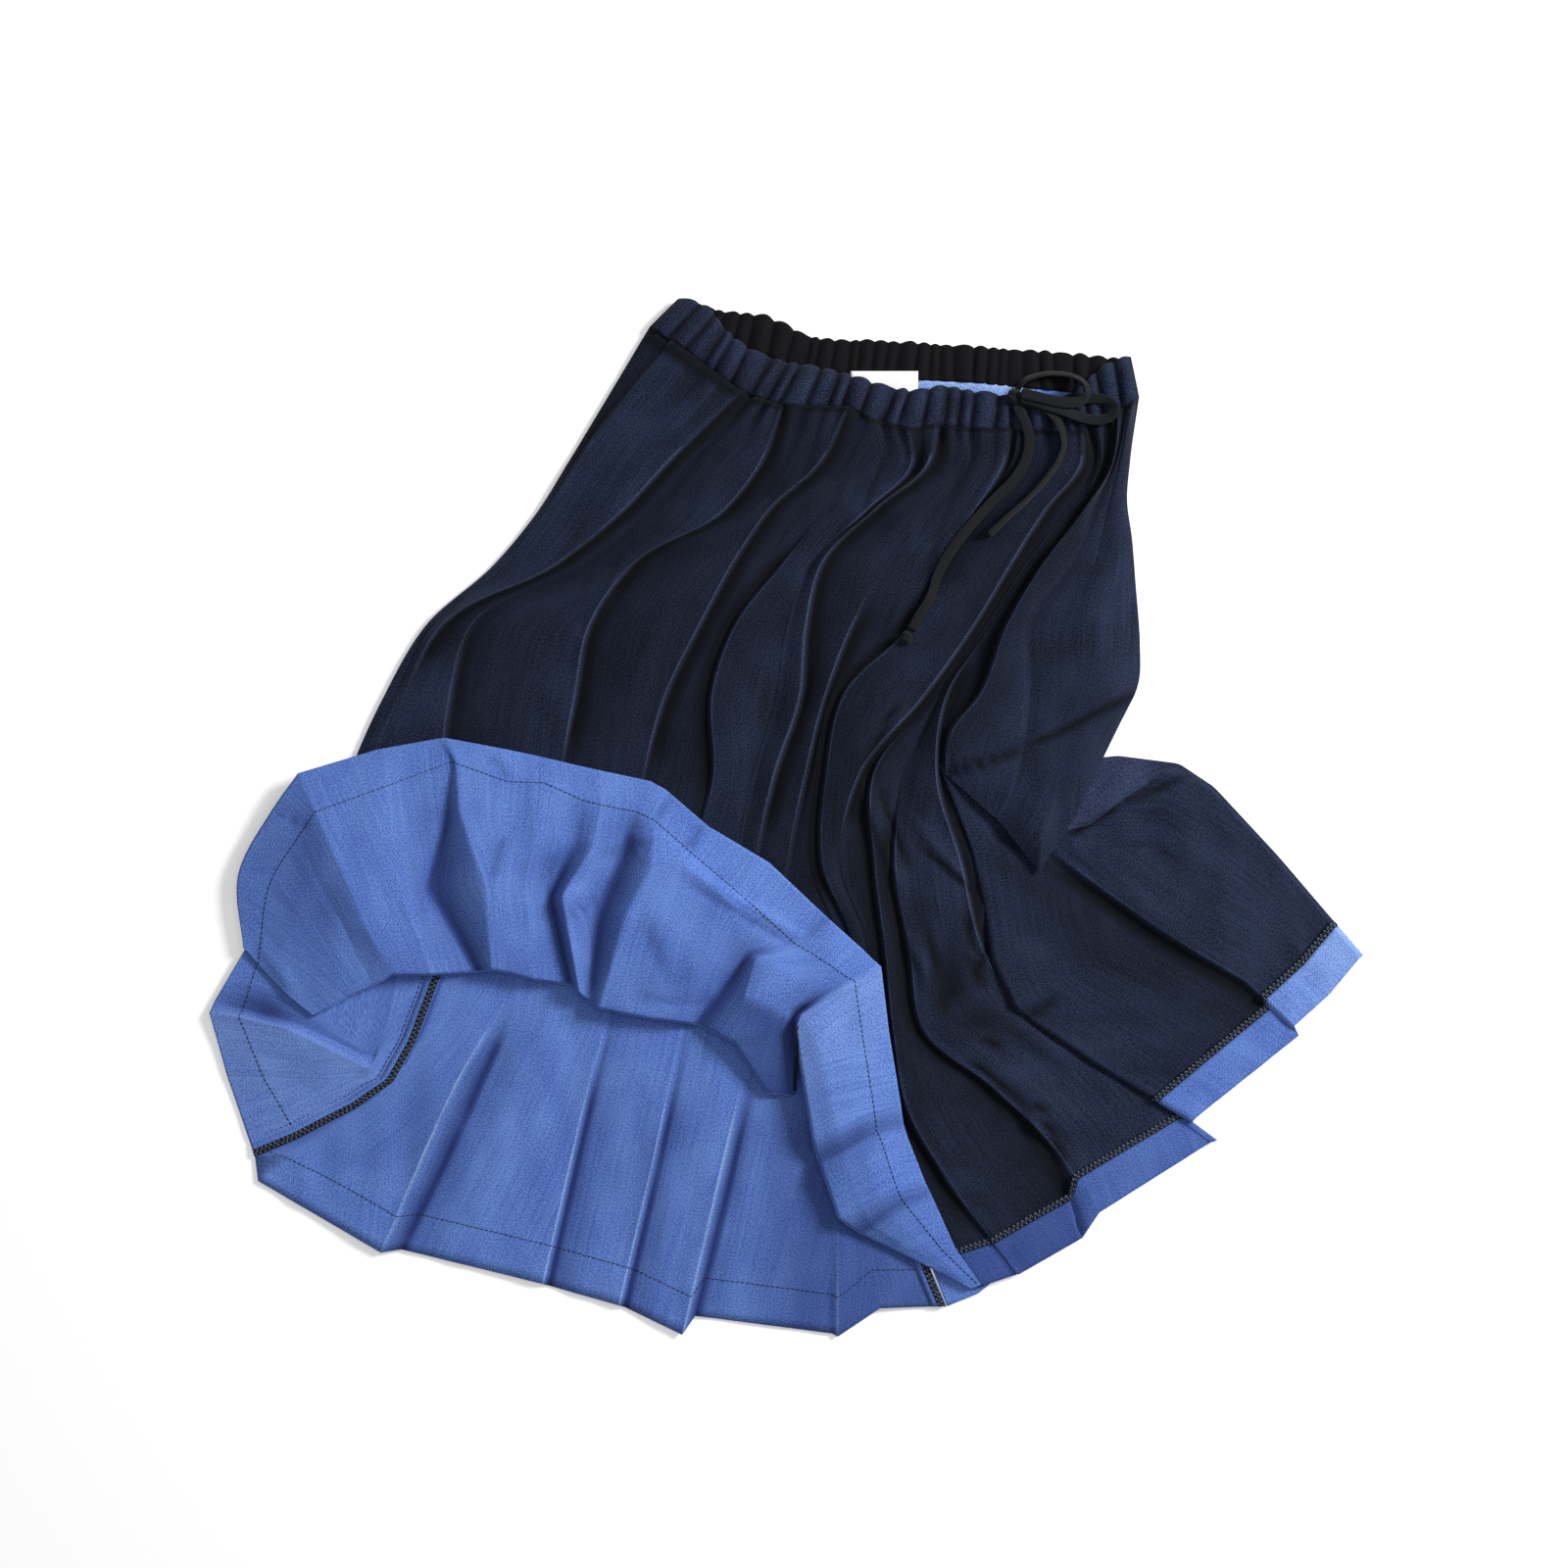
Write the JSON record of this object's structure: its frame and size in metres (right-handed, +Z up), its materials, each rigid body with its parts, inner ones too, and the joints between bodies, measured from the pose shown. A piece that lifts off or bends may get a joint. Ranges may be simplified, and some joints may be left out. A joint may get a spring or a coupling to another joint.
{
  "type": "pleated midi skirt, laid flat with its front hem thrown up",
  "caption": "Pleated midi skirt of double-faced twill with a drawstring waist, laid flat with part of its front hem thrown up to show the blue inside.",
  "frame": {"origin": "middle of the bounding box, on the surface that the skirt lies on", "axes": "+X across the skirt to the right as it is looked down on, +Y from the hem to the waist, +Z up off the surface"},
  "size_m": [0.8842, 0.7971, 0.0344],
  "materials": {
    "navy_twill": "matt cotton twill, herringbone face",
    "blue_twill": "matt cotton twill, plain face",
    "hem_twill": "matt cotton twill, plain face",
    "overlock_thread": "matt polyester thread",
    "black_facing": "matt woven tape",
    "white_tape": "soft woven satin",
    "black_tape": "matt tubular cotton tape"
  },
  "bodies": {
    "root": {"front_panel": "navy_twill", "front_panel_right_pleats": "navy_twill", "front_panel_turned_back": "blue_twill", "front_panel_left_corner": "blue_twill", "front_panel_wrapped_under": "blue_twill", "back_panel": "blue_twill", "hem_turn_up_1": "hem_twill", "hem_turn_up_2": "hem_twill", "hem_turn_up_3": "hem_twill", "hem_turn_up_4": "hem_twill", "seam_allowance_left": "overlock_thread", "seam_allowance_right": "overlock_thread", "waistband_front": "navy_twill", "waistband_back": "navy_twill", "waistband_facing": "black_facing", "label": "white_tape", "drawstring_bow_knot": "black_tape", "drawstring_tip_knot": "black_tape", "drawstring_tail_long": "black_tape", "drawstring_tail_short": "black_tape", "drawstring_loop_lower": "black_tape", "drawstring_loop_upper": "black_tape"}
  },
  "joints": []
}
